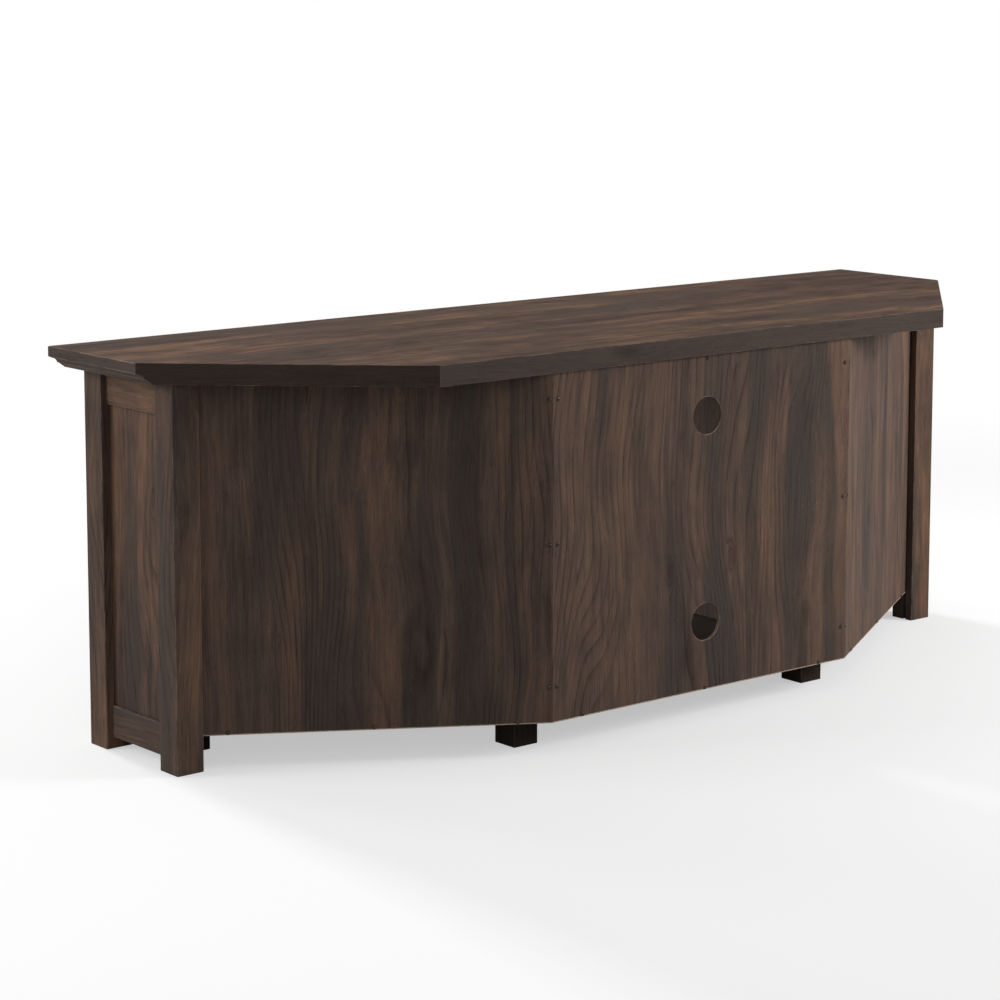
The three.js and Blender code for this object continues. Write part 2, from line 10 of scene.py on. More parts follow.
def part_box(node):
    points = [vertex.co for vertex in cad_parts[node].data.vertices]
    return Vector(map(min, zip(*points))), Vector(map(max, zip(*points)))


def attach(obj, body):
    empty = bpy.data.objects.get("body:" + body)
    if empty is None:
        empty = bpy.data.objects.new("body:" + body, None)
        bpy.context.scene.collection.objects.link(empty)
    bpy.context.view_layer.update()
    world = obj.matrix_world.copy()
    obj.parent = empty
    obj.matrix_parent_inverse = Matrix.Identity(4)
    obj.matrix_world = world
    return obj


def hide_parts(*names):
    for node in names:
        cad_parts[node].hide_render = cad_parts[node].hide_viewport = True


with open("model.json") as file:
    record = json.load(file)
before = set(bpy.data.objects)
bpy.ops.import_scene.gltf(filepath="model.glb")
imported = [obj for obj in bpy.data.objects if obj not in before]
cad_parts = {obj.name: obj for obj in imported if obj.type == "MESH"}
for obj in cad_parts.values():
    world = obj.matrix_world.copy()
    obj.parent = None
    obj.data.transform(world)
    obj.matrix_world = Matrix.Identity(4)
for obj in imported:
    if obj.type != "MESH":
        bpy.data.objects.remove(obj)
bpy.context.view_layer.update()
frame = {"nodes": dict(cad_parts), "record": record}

# Corner television cabinet, seen from behind. Metres, +Z up, front towards -Y, right is +X as
# seen from the front. The boards are the model's own, with rounded edges and a laminate whose
# grain follows each board. Added to them: edge bands, screws, hinge pins and catch magnets.
# Some colours hold painted light: painted shade on the bay's bottom panel, the feet and the slanted edge
# bands, and painted highlight, along with wear, on edges and on the end rails' ledges.

SIDES = (("left", -1), ("right", 1))
BODY_OF = {node: body for body, nodes in frame["record"]["behaviour"]["bodies"].items() for node in nodes}
SLOT_OF = {part["node"]: part["material_slot"] for part in frame["record"]["subparts"]}

# Boards
weld_distance = 0.00001
flat_angle = math.radians(1)
sharp_angle = math.radians(30)
board_round = 0.0011
moulding_round = 0.0004
thin_board_round = 0.0006
hole_rim_round = 0.0009
round_steps = 2
shortest_board_edge = 0.008
shortest_rim_edge = 0.003
sawn_strip = 0.0015
back_board_margin = 0.02
band_thickness = 0.001
band_round = 0.0006
grain_offset_range = 40
# Hole rims and ledges are lightened twice as much as edges; on the ledges this is a painted highlight.
rim_lightening_and_ledge_highlight_share = 2

# Printed figure: how often each pattern comes back in a metre, along the grain and across it
figure_rates = {
    "sway": (3.0, 5.5), "bands": (1.0, 17), "patches": (8, 36), "shimmer": (24, 14), "streaks": (5, 130),
    "knots": (10, 30), "ring drift": (1.4, 6.5), "ring runs": (1.6, 8), "ring breaks": (9, 60),
    "fibres": (14, 420), "pores": (60, 1100), "flecks": (150, 520), "fleck clusters": (12, 24),
    "cool bands": (1.3, 20), "smudges": (7, 7), "rubbed runs": (30, 30),
}
figure_sway = 0.05
rings_per_metre = 95
ring_drift_turns = 19
ring_bend_turns = 2.2
across_mix_share = 0.7
tone_shares = {"bands": 0.6, "patches": 0.4, "shimmer": 0.12, "streaks": 0.48}
tone_middle = 0.8
knot_share_left_out = 0.9
darkening_shares = {"ring": -0.75, "pore": -0.25, "knot": -0.35, "fleck": 0.35}
relief_shares = {"pore": -0.8, "fibre": 0.4, "ring": -0.3}
figure_relief = 0.00015
figure_relief_strength = 0.35
mottle_relief = 0.00005
mottle_fineness = 9
laminate_gloss = 0.04

# Screws
back_screw = {"Head radius": 0.0031, "Head height": 0.0016, "Recess width": 0.001, "Recess length": 0.0042}
flush_screw = {"Head radius": 0.0026, "Head height": 0.00022, "Recess width": 0.0007, "Recess length": 0.003}
centre_fold_inset = 0.0085
slanted_fold_inset = 0.004
fold_screw_heights = (0.467, 0.278, 0.091)
bottom_screw_height = 0.0468
top_screw_height = 0.4965
centre_screw_spacing = 0.2195
slanted_screw_inset = 0.045
head_sides = 20
head_rings = 4

cone_top_share = 0.3
recess_rise_share = 0.8
dome_power = 4

# Hinges, knobs and catches
barrel_radius = 0.0035
leaf_thickness = 0.0012
leaf_depth = 0.016
door_leaf_offset = 0.002
hinge_screw_rise = 0.021
hinge_screw_stagger = 0.0025
pin_head_height = 0.0016
pin_head_radius = 0.0027
pin_head_profile_shares = ((0, 0), (1, 0), (1, 0.3), (0.86, 0.62), (0.55, 0.9), (0, 1))
knob_sides = 64
knob_profile_shares = (
    (0, 0), (0.54, 0), (0.54, 0.05), (0.49, 0.08), (0.4, 0.12), (0.33, 0.2), (0.31, 0.3), (0.32, 0.41),
    (0.38, 0.5), (0.5, 0.56), (0.7, 0.6), (0.86, 0.64), (0.95, 0.69), (0.99, 0.75), (1, 0.8), (0.98, 0.85),
    (0.93, 0.9), (0.83, 0.94), (0.68, 0.97), (0.5, 0.985), (0.28, 0.996), (0, 1),
)
magnet_thickness = 0.0012
magnet_gap = 0.0006
magnet_depth = 0.0018
magnet_round = 0.0002
magnet_inset = 0.0045
catch_screw_inset = 0.008

# Camera and light
camera_place = (2.6156, 2.9545, 1.0160)
camera_turn = math.radians(39.601)
camera_tilt = math.radians(-7.689)
camera_lens = 102.78
camera_sensor = 36
camera_shift = -0.15
world_strength = 0.3
floor_reach = 30
floor_grey = 0.54
floor_glow = 0.5
fade_start = 1.5
fade_end = 2.8
LAMPS = {
    "front_lamp": {"place": (0.25, -7.5, 2.6), "aim": (0, 0, 0.25), "size": 1.0, "power": 455},
    "bay_lamp": {"place": (2.0, -4.2, 1.2), "aim": (0, -0.1, 0.3), "size": 1.2, "power": 45},
    "rear_side_lamp": {"place": (-1.6, 1.5, 1.1), "aim": (-0.3, 0.1, 0.25), "size": 0.8, "power": 33},
    "rear_end_lamp": {"place": (2.4, 2.6, 1.6), "aim": (0.4, 0.1, 0.25), "size": 1.4, "power": 11},
    "end_lamp": {"place": (3.2, -1.7, 1.5), "aim": (0.4, 0, 0.25), "size": 1.4, "power": 47},
}


def colour(red, green, blue):
    """A colour in sRGB steps, as the linear colour that the nodes take"""
    channels = []
    for step in (red, green, blue):
        share = step / 255
        channels.append(share / 12.92 if share <= 0.04045 else ((share + 0.055) / 1.055) ** 2.4)
    return (*channels, 1)


# Node trees: small helpers


class Tree:
    """Adds nodes to a node tree. A value is a socket, which is linked, or a number or colour."""

    def __init__(self, tree):
        self.tree = tree

    def node(self, kind, **settings):
        made = self.tree.nodes.new(kind)
        for name, value in settings.items():
            setattr(made, name, value)
        return made

    def feed(self, made, values):
        """Sets or links inputs by their identifiers"""
        sockets = {socket.identifier: socket for socket in made.inputs}
        for name, value in values.items():
            if isinstance(value, bpy.types.NodeSocket):
                self.tree.links.new(value, sockets[name])
            else:
                sockets[name].default_value = value
        return made

    def output(self, made, name):
        return next(socket for socket in made.outputs if socket.identifier == name)

    def maths(self, operation, first, second=0.0, third=0.0, clamp=False):
        made = self.node("ShaderNodeMath", operation=operation, use_clamp=clamp)
        self.feed(made, {"Value": first, "Value_001": second, "Value_002": third})
        return made.outputs[0]

    def scaled(self, vector, along, across):
        """A place stretched for a pattern: along the grain, and alike in both ways across it"""
        made = self.node("ShaderNodeVectorMath", operation="MULTIPLY")
        self.feed(made, {"Vector": vector, "Vector_001": (along, across, across)})
        return made.outputs[0]

    def noise(self, vector, detail=2.0, roughness=0.5, distortion=0.0, scale=1.0):
        made = self.node("ShaderNodeTexNoise")
        values = {"Vector": vector, "Scale": scale, "Detail": detail}
        values.update({"Roughness": roughness, "Distortion": distortion})
        self.feed(made, values)
        return self.output(made, "Fac")

    def ranged(self, value, low, high, new_low=0.0, new_high=1.0, smooth=False):
        kind = "SMOOTHSTEP" if smooth else "LINEAR"
        made = self.node("ShaderNodeMapRange", interpolation_type=kind)
        values = {"Value": value, "From Min": low, "From Max": high, "To Min": new_low, "To Max": new_high}
        self.feed(made, values)
        return made.outputs[0]

    def mixed(self, share, first, second, blend="MIX"):
        made = self.node("ShaderNodeMix", data_type="RGBA", blend_type=blend)
        self.feed(made, {"Factor_Float": share, "A_Color": first, "B_Color": second})
        return self.output(made, "Result_Color")

    def blended(self, share, first, second):
        """Between two numbers"""
        made = self.node("ShaderNodeMix", data_type="FLOAT")
        self.feed(made, {"Factor_Float": share, "A_Float": first, "B_Float": second})
        return self.output(made, "Result_Float")

    def greyed(self, value):
        """A number as a grey colour, to multiply another colour by"""
        made = self.node("ShaderNodeCombineColor")
        self.feed(made, {"Red": value, "Green": value, "Blue": value})
        return made.outputs[0]

    def attribute(self, name):
        return self.node("ShaderNodeAttribute", attribute_name=name)

    def group(self, group, values):
        made = self.node("ShaderNodeGroup", node_tree=group)
        names = {socket.name: socket.identifier for socket in made.inputs}
        self.feed(made, {names[name]: value for name, value in values.items()})
        return made

    def bump(self, height, strength, distance):
        made = self.node("ShaderNodeBump")
        self.feed(made, {"Height": height, "Strength": strength, "Distance": distance})
        return made.outputs[0]


def new_group(name, kind, inputs, outputs):
    """A node group with named sockets: its tree helper, its input node and its output node"""
    group = bpy.data.node_groups.new(name, kind)
    for socket_name, socket_kind in inputs:
        group.interface.new_socket(socket_name, in_out="INPUT", socket_type=socket_kind)
    for socket_name, socket_kind in outputs:
        group.interface.new_socket(socket_name, in_out="OUTPUT", socket_type=socket_kind)
    tree = Tree(group)
    return tree, tree.node("NodeGroupInput"), tree.node("NodeGroupOutput")


FLOAT = "NodeSocketFloat"
COLOUR = "NodeSocketColor"
VECTOR = "NodeSocketVector"


def laminate_figure():
    """Printed walnut: tone bands and patches, swaying ring lines with a few knots, fibres and pores"""
    inputs = [("Place", VECTOR), ("Dark", COLOUR), ("Middle", COLOUR), ("Warm", COLOUR), ("Cool", COLOUR)]
    inputs += [("Contrast", FLOAT), ("Ring strength", FLOAT), ("Smoothest", FLOAT), ("Roughest", FLOAT)]
    outputs = [("Colour", COLOUR), ("Roughness", FLOAT), ("Height", FLOAT)]
    tree, given, result = new_group("laminate_figure", "ShaderNodeTree", inputs, outputs)

    # The whole figure sways across the grain
    sway = tree.node("ShaderNodeTexNoise")
    slow_place = tree.scaled(given.outputs["Place"], *figure_rates["sway"])
    tree.feed(sway, {"Vector": slow_place, "Scale": 1.0, "Detail": 1.0})
    swayed = tree.node("ShaderNodeVectorMath", operation="MULTIPLY_ADD")
    values = {"Vector": tree.output(sway, "Color"), "Vector_001": (0, figure_sway, figure_sway)}
    tree.feed(swayed, {**values, "Vector_002": given.outputs["Place"]})
    place = swayed.outputs[0]

    def pattern(name, **settings):
        """Noise at the rates that the named pattern has"""
        return tree.noise(tree.scaled(place, *figure_rates[name]), **settings)

    # Tone: four patterns, added up in their shares
    layers = {
        "bands": pattern("bands", detail=2.0, distortion=0.2),
        "patches": pattern("patches", detail=3.0, roughness=0.6, distortion=0.3),
        "shimmer": pattern("shimmer", detail=2.0),
        "streaks": pattern("streaks", detail=4.0, roughness=0.7),
    }
    tone = tree.maths("MULTIPLY", layers["patches"], tone_shares["patches"])
    for name in ("bands", "shimmer", "streaks"):
        tone = tree.maths("MULTIPLY_ADD", layers[name], tone_shares[name], tone)
    tone = tree.maths("SUBTRACT", tone, tone_middle)
    tone = tree.maths("MULTIPLY_ADD", tone, given.outputs["Contrast"], 0.5, clamp=True)

    # Small knots, in a few of the cells only
    knots = tree.node("ShaderNodeTexVoronoi")
    knot_place = tree.scaled(place, *figure_rates["knots"])
    tree.feed(knots, {"Vector": knot_place, "Scale": 1.0, "Randomness": 1.0})
    near_knot = tree.ranged(tree.output(knots, "Distance"), 0.4, 0.0, smooth=True)
    knot_kind = tree.node("ShaderNodeSeparateColor")
    tree.feed(knot_kind, {"Color": tree.output(knots, "Color")})
    kept = tree.maths("GREATER_THAN", knot_kind.outputs[0], knot_share_left_out)
    near_knot = tree.maths("MULTIPLY", near_knot, kept)

    # Ring lines: soft on one side and crisp on the other, gathered into bundles, and bent round the knots
    split = tree.node("ShaderNodeSeparateXYZ")
    tree.feed(split, {"Vector": place})
    across = tree.maths("MULTIPLY_ADD", split.outputs[2], across_mix_share, split.outputs[1])
    field = tree.maths("MULTIPLY", across, rings_per_metre)
    field = tree.maths("MULTIPLY_ADD", pattern("ring drift", detail=1.0), ring_drift_turns, field)
    field = tree.maths("MULTIPLY_ADD", near_knot, ring_bend_turns, field)
    turn = tree.maths("FRACT", field)
    crisp = tree.ranged(turn, 1.0, 0.9, smooth=True)
    line = tree.maths("MULTIPLY", tree.maths("POWER", turn, 5), crisp)
    shown = tree.ranged(pattern("ring runs"), 0.42, 0.56, 0.2, 1.0, smooth=True)
    broken = tree.ranged(pattern("ring breaks"), 0.35, 0.6, 0.3, 1.0)
    line = tree.maths("MULTIPLY", line, tree.maths("MULTIPLY", shown, broken))
    line = tree.maths("MULTIPLY", line, given.outputs["Ring strength"])

    fibre = pattern("fibres", detail=2.0)
    pore = tree.ranged(pattern("pores", detail=1.0), 0.6, 0.7, smooth=True)

    # Light flecks, in clusters
    fleck = tree.ranged(pattern("flecks", detail=1.0), 0.6, 0.72, smooth=True)
    cluster = tree.ranged(pattern("fleck clusters", detail=1.0), 0.55, 0.68, smooth=True)
    fleck = tree.maths("MULTIPLY", fleck, cluster)

    # Colour: dark to warm with the tone, cool in bands, then darkened or lightened by the fine marks
    low = tree.mixed(tree.ranged(tone, 0.0, 0.5), given.outputs["Dark"], given.outputs["Middle"])
    shade = tree.mixed(tree.ranged(tone, 0.5, 1.0), low, given.outputs["Warm"])
    cool = tree.ranged(pattern("cool bands", detail=2.0), 0.5, 0.62, 0.0, 0.75, smooth=True)
    shade = tree.mixed(cool, shade, given.outputs["Cool"])
    keep = tree.ranged(fibre, 0.25, 0.75, 0.85, 1.15)
    for mark, value in (("ring", line), ("pore", pore), ("knot", near_knot), ("fleck", fleck)):
        change = tree.maths("MULTIPLY_ADD", value, darkening_shares[mark], 1.0)
        keep = tree.maths("MULTIPLY", keep, change)
    shade = tree.mixed(1.0, shade, tree.greyed(keep), "MULTIPLY")

    # Gloss goes with soft smudges, and relief with pores, fibres and rings
    smudge = pattern("smudges", detail=3.0, roughness=0.6)
    smudge = tree.ranged(tree.maths("MULTIPLY_ADD", pore, 0.25, smudge), 0.3, 0.75)
    rough = tree.blended(smudge, given.outputs["Smoothest"], given.outputs["Roughest"])
    height = tree.maths("MULTIPLY", fibre, relief_shares["fibre"])
    for mark, value in (("pore", pore), ("ring", line)):
        height = tree.maths("MULTIPLY_ADD", value, relief_shares[mark], height)
    for name, value in (("Colour", shade), ("Roughness", rough), ("Height", height)):
        tree.tree.links.new(value, result.inputs[name])
    return tree.tree


def edge_wear_and_highlight():
    """Lightens edges in broken runs: partly handling wear, partly painted highlight where edges catch the
    light.
    Edge is 1 on rounded faces and more on hole rims and ledges; on the ledges the lightening is a painted
    highlight.
    """
    inputs = [("Place", VECTOR), ("Colour", COLOUR), ("Edge", FLOAT), ("Amount", FLOAT), ("Worn and highlit", COLOUR)]
    tree, given, result = new_group("edge_wear_and_highlight", "ShaderNodeTree", inputs, [("Colour", COLOUR)])
    run_place = tree.scaled(given.outputs["Place"], *figure_rates["rubbed runs"])
    runs = tree.noise(run_place, detail=3.0, roughness=0.65)
    share = tree.maths("MULTIPLY", tree.ranged(runs, 0.38, 0.62), given.outputs["Edge"])
    share = tree.maths("MULTIPLY", share, given.outputs["Amount"])
    shade = tree.mixed(share, given.outputs["Colour"], given.outputs["Worn and highlit"])
    tree.tree.links.new(shade, result.inputs["Colour"])
    return tree.tree


def fine_mottle():
    """Small uneven tone and gloss of metal and plastic: a tint, a roughness and a height"""
    inputs = [("Place", VECTOR), ("Size", FLOAT), ("Base", COLOUR), ("Spot", COLOUR)]
    inputs += [("Smoothest", FLOAT), ("Roughest", FLOAT)]
    outputs = [("Colour", COLOUR), ("Roughness", FLOAT), ("Height", FLOAT)]
    tree, given, result = new_group("fine_mottle", "ShaderNodeTree", inputs, outputs)
    place = given.outputs["Place"]
    broad = tree.noise(place, detail=4.0, roughness=0.6, scale=given.outputs["Size"])
    fine_size = tree.maths("MULTIPLY", given.outputs["Size"], mottle_fineness)
    fine = tree.noise(place, detail=2.0, scale=fine_size)
    share = tree.ranged(tree.maths("MULTIPLY_ADD", fine, 0.35, broad), 0.5, 0.9)
    shade = tree.mixed(share, given.outputs["Base"], given.outputs["Spot"])
    rough = tree.blended(broad, given.outputs["Smoothest"], given.outputs["Roughest"])
    for name, value in (("Colour", shade), ("Roughness", rough), ("Height", fine)):
        tree.tree.links.new(value, result.inputs[name])
    return tree.tree


LAMINATE_FIGURE = laminate_figure()
EDGE_WEAR_AND_HIGHLIGHT = edge_wear_and_highlight()
FINE_MOTTLE = fine_mottle()


# Finishes


def new_material(name, **settings):
    """A material with a Principled shader, and its tree helper. Settings go on the shader's sockets."""
    material = bpy.data.materials.new(name)
    material.use_nodes = True
    shader = material.node_tree.nodes["Principled BSDF"]
    for socket_name, value in settings.items():
        shader.inputs[socket_name.replace("_", " ")].default_value = value
    return material, Tree(material.node_tree), shader


def laminate(name, shades, contrast, rings, gloss, wear_and_highlight, shorter=1.0):
    """Walnut laminate whose grain follows each board's own places. Shades are dark, middle, warm and
    cool, and gloss is the smoothest and the roughest. Shorter is above 1 for a shorter figure."""
    dark, middle, warm, cool = shades
    material, tree, shader = new_material(name, Specular_IOR_Level=laminate_gloss)
    place = tree.scaled(tree.attribute("grain_place").outputs["Vector"], shorter, 1)
    values = {"Place": place, "Dark": dark, "Middle": middle, "Warm": warm, "Cool": cool}
    values.update({"Contrast": contrast, "Ring strength": rings})
    figure = tree.group(LAMINATE_FIGURE, {**values, "Smoothest": gloss[0], "Roughest": gloss[1]})
    edge = tree.attribute("wear_and_highlight_mask").outputs["Fac"]
    values = {"Place": place, "Colour": figure.outputs["Colour"], "Edge": edge, "Amount": wear_and_highlight}
    worn_and_highlit = tree.group(EDGE_WEAR_AND_HIGHLIGHT, {**values, "Worn and highlit": worn_and_highlit_walnut})
    normal = tree.bump(figure.outputs["Height"], figure_relief_strength, figure_relief)
    values = {"Base Color": worn_and_highlit.outputs["Colour"], "Roughness": figure.outputs["Roughness"]}
    tree.feed(shader, {**values, "Normal": normal})
    return material


def mottled(name, size, base, spot, gloss, bump=0.2, **settings):
    """Metal, plastic or raw board with a fine uneven tone. Gloss is the smoothest and the roughest."""
    material, tree, shader = new_material(name, **settings)
    place = tree.node("ShaderNodeTexCoord").outputs["Object"]
    values = {"Place": place, "Size": size, "Base": base, "Spot": spot}
    mottle = tree.group(FINE_MOTTLE, {**values, "Smoothest": gloss[0], "Roughest": gloss[1]})
    normal = tree.bump(mottle.outputs["Height"], bump, mottle_relief)
    values = {"Base Color": mottle.outputs["Colour"], "Roughness": mottle.outputs["Roughness"]}
    tree.feed(shader, {**values, "Normal": normal})
    return material


# Edge colour: partly handling wear, partly a painted highlight on edges and ledges that catch the light.
worn_and_highlit_walnut = colour(150, 130, 113)
walnut = (colour(62, 51, 46), colour(90, 73, 63), colour(120, 91, 72), colour(74, 65, 61))
case_walnut = (colour(66, 56, 51), colour(92, 78, 70), colour(112, 92, 79), colour(78, 70, 65))
panel_walnut = (colour(56, 46, 42), colour(84, 68, 60), colour(112, 86, 70), colour(68, 60, 56))
top_walnut = (colour(60, 47, 41), colour(90, 71, 60), colour(130, 98, 76), colour(80, 67, 60))
back_walnut = (colour(66, 55, 50), colour(90, 74, 66), colour(113, 89, 74), colour(68, 61, 57))
# Darker walnut for the bay's bottom panel and the feet: painted shade, for places that lie in shade under
# the cabinet and low in the bay.
painted_shade_walnut = (colour(34, 28, 24), colour(48, 40, 34), colour(64, 52, 43), colour(43, 38, 34))
band_shades = (colour(66, 57, 53), colour(74, 64, 59), colour(82, 71, 64), colour(70, 62, 58))
# The slanted edges' bands take a darker copy of the band colours: painted shade.
painted_shade_band_shades = (colour(52, 43, 38), colour(60, 50, 44), colour(68, 56, 49), colour(57, 48, 43))
raw_shades = (colour(188, 170, 148), colour(152, 134, 114))
hole_shades = (colour(88, 66, 52), colour(66, 50, 42))
bronze_shades = (colour(44, 36, 31), colour(92, 68, 50))
screw_shades = (colour(24, 21, 20), colour(78, 70, 62))
plastic_shades = (colour(44, 34, 29), colour(58, 46, 39))
steel_shades = (colour(176, 174, 170), colour(206, 204, 200))
matt = (0.62, 0.76)
duller = (0.78, 0.9)
dusty = (0.8, 0.95)

top_finish = laminate("top_laminate", top_walnut, 2.9, 0.8, duller, wear_and_highlight=0.65, shorter=1.35)
frame_finish = laminate("frame_laminate", walnut, 2.6, 0.9, matt, wear_and_highlight=0.35)
panel_finish = laminate("panel_laminate", panel_walnut, 3.2, 1.0, matt, wear_and_highlight=0.35)
back_finish = laminate("back_board_print", back_walnut, 2.6, 1.0, matt, wear_and_highlight=0.7)
case_finish = laminate("case_laminate", case_walnut, 2.0, 0.6, matt, wear_and_highlight=0.3)
painted_shade_finish = laminate("painted_shade_laminate", painted_shade_walnut, 2.0, 0.6, matt, wear_and_highlight=0.3)
band_finish = laminate("edge_band", band_shades, 1.1, 0.1, matt, wear_and_highlight=0.6)
painted_shade_band_finish = laminate("slanted_edge_band", painted_shade_band_shades, 1.1, 0.1, matt, wear_and_highlight=0.6)
raw_finish = mottled("raw_hardboard", 260, *raw_shades, dusty, bump=0.6)
hole_finish = mottled("hole_wall", 260, *hole_shades, dusty, bump=0.6)
bronze_finish = mottled("aged_bronze", 120, *bronze_shades, (0.3, 0.5), Metallic=0.85, Coat_Weight=0.15)
screw_finish = mottled("aged_screw", 700, *screw_shades, (0.25, 0.45), Metallic=0.9)
plastic_finish = mottled("brown_plastic", 300, *plastic_shades, (0.45, 0.6))
steel_finish = mottled("plated_steel", 220, *steel_shades, (0.25, 0.42), Metallic=1.0)

FINISHES = {
    "top_wood": top_finish,
    "frame_wood": frame_finish,
    "panel_wood": panel_finish,
    "back_board": back_finish,
    "case_board": case_finish,
    "dark_metal": bronze_finish,
    "catch_plastic": plastic_finish,
    "strike_steel": steel_finish,
}


# Pieces


def finished_piece(name, mesh, body):
    """An object at the origin with this mesh, on its body"""
    piece = bpy.data.objects.new(name, mesh)
    bpy.context.scene.collection.objects.link(piece)
    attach(piece, body)
    return piece


def merged_copy(node):
    """A model node's mesh with its loose triangles joined and its flat faces made whole"""
    mesh = bmesh.new()
    mesh.from_mesh(frame["nodes"][node].data)
    bmesh.ops.remove_doubles(mesh, verts=mesh.verts, dist=weld_distance)
    bmesh.ops.dissolve_limit(mesh, angle_limit=flat_angle, verts=mesh.verts, edges=mesh.edges)
    return mesh


def trim(mesh, point, outward):
    """Cuts off what lies outside a plane, and closes the cut"""
    everything = mesh.verts[:] + mesh.edges[:] + mesh.faces[:]
    cut = bmesh.ops.bisect_plane(
        mesh, geom=everything, dist=weld_distance, plane_co=point, plane_no=outward, clear_outer=True
    )
    edges = [part for part in cut["geom_cut"] if isinstance(part, bmesh.types.BMEdge)]
    open_edges = [edge for edge in edges if edge.is_boundary]
    if open_edges:
        bmesh.ops.edgeloop_fill(mesh, edges=open_edges)
    bmesh.ops.recalc_face_normals(mesh, faces=mesh.faces)


def bevel(mesh, edges, width, steps=round_steps):
    """Rounds these edges. The new faces come back."""
    rounded = bmesh.ops.bevel(
        mesh, geom=edges, offset=width, segments=steps, profile=0.5, affect="EDGES", clamp_overlap=True
    )
    return rounded["faces"]


def round_edges(mesh, width, shortest=shortest_board_edge, longest=math.inf):
    """Rounds the outward edges within a range of lengths. The new faces come back."""
    edges = [
        edge for edge in mesh.edges
        if edge.is_manifold and edge.is_convex
        and edge.calc_face_angle() > sharp_angle
        and shortest < edge.calc_length() < longest
    ]
    return bevel(mesh, edges, width)


def span(mesh, way):
    """How long a mesh is along a way"""
    reaches = [vertex.co.dot(way) for vertex in mesh.verts]
    return max(reaches) - min(reaches)


def grain_offset(name):
    """A place of its own in the figure for each board, the same in every run"""
    draw = random.Random(name)
    return Vector([draw.uniform(-grain_offset_range, grain_offset_range) for _ in range(3)])


def set_grain(mesh, name, ways, edge_faces=(), ledge_faces=()):
    """Stores each corner's place in the figure, and which faces are rounded or a ledge, for the edge
    lightening (wear and painted highlight; on ledges, painted highlight). The ways are the grain's and the
    two across it.
    On a board's ends the grain follows the longer way, as on an edge band."""
    offset = grain_offset(name)
    along, *across = ways
    across.sort(key=lambda way: span(mesh, way), reverse=True)
    place_layer = mesh.loops.layers.float_vector.new("grain_place")
    edge_layer = mesh.loops.layers.float.new("wear_and_highlight_mask")
    for face in mesh.faces:
        is_end = abs(face.normal.dot(along)) > math.cos(sharp_angle)
        shown = (across[0], along, across[1]) if is_end else (along, *across)
        for corner in face.loops:
            corner[place_layer] = Vector([corner.vert.co.dot(way) for way in shown]) + offset
    for faces, share in ((edge_faces, 1), (ledge_faces, rim_lightening_and_ledge_highlight_share)):
        for face in faces:
            for corner in face.loops:
                corner[edge_layer] = share


def to_mesh(mesh, name):
    data = bpy.data.meshes.new(name)
    mesh.to_mesh(data)
    mesh.free()
    return data


ALONG_X, ALONG_Y, ALONG_Z = range(3)
GRAIN_ENDINGS = {
    "top_slab": ALONG_X, "sub_top": ALONG_X, "front_crown_moulding": ALONG_X, "crown_moulding": ALONG_Y,
    "front_top_rail": ALONG_X, "front_bottom_rail": ALONG_X, "bottom_panel": ALONG_X, "shelf": ALONG_X,
    "end_top_rail": ALONG_Y, "end_bottom_rail": ALONG_Y,
    "door_top_rail": ALONG_X, "door_bottom_rail": ALONG_X,
}
AXES = (Vector((1, 0, 0)), Vector((0, 1, 0)), Vector((0, 0, 1)))


def grain_ways(node):
    """Along the length of rails and shelves, and upright for the rest, then the two ways across"""
    if node.endswith("slanted_back_panel"):
        sign = -1 if node.startswith("left") else 1
        return [AXES[ALONG_Z], mirrored(panel_way, sign), mirrored(panel_outward, sign)]
    fitting = [ending for ending in GRAIN_ENDINGS if node.endswith(ending)]
    along = GRAIN_ENDINGS[max(fitting, key=len)] if fitting else ALONG_Z
    return [AXES[along], *(AXES[axis] for axis in range(3) if axis != along)]


# Plan of the top: where its slanted rear edges start and end, on the right-hand side
slab_corners = [vertex.co for vertex in frame["nodes"]["top_slab"].data.vertices]
slab_low, slab_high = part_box("top_slab")
end_corners = [co for co in slab_corners if co.x > slab_high.x - weld_distance]
rear_corners = [co for co in slab_corners if co.y > slab_high.y - weld_distance]
slant_start = Vector((slab_high.x, max(co.y for co in end_corners), 0))
slant_end = Vector((max(co.x for co in rear_corners), slab_high.y, 0))
slant_way = (slant_end - slant_start).normalized()
slant_outward = Vector((slant_way.y, -slant_way.x, 0))
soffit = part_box("sub_top")[0].z

# Plan of the back panels on the right-hand side
back_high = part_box("centre_back_panel")[1]
back_face = back_high.y
fold = Vector((back_high.x, back_face, 0))
panel_corners = [vertex.co for vertex in frame["nodes"]["right_slanted_back_panel"].data.vertices]
outer_end = max(panel_corners, key=lambda co: co.x + co.y * weld_distance)
panel_way = (Vector((outer_end.x, outer_end.y, 0)) - fold).normalized()
panel_outward = Vector((-panel_way.y, panel_way.x, 0))
panel_length = (Vector((outer_end.x, outer_end.y, 0)) - fold).length


def mirrored(vector, sign):
    return Vector((vector.x * sign, vector.y, vector.z))


def rear_planes():
    """The rear edge and both slanted edges, moved in by the thickness of the edge band"""
    planes = [(Vector((0, slab_high.y - band_thickness, 0)), Vector((0, 1, 0)))]
    for _, sign in SIDES:
        outward = mirrored(slant_outward, sign)
        planes.append((mirrored(slant_start, sign) - outward * band_thickness, outward))
    return planes


BANDED = ("top_slab", "sub_top", "left_crown_moulding", "right_crown_moulding")
THIN_BOARDS = ("centre_back_panel", "left_slanted_back_panel", "right_slanted_back_panel")
# Boards that take the darker walnut as painted shade
PAINTED_SHADE_ENDINGS = ("bottom_panel", "_foot")
EDGE_ENDINGS = ("crown_moulding", "sub_top")
# Rails whose top ledges get a painted highlight
PAINTED_HIGHLIGHT_LEDGE_ENDINGS = ("end_bottom_rail",)


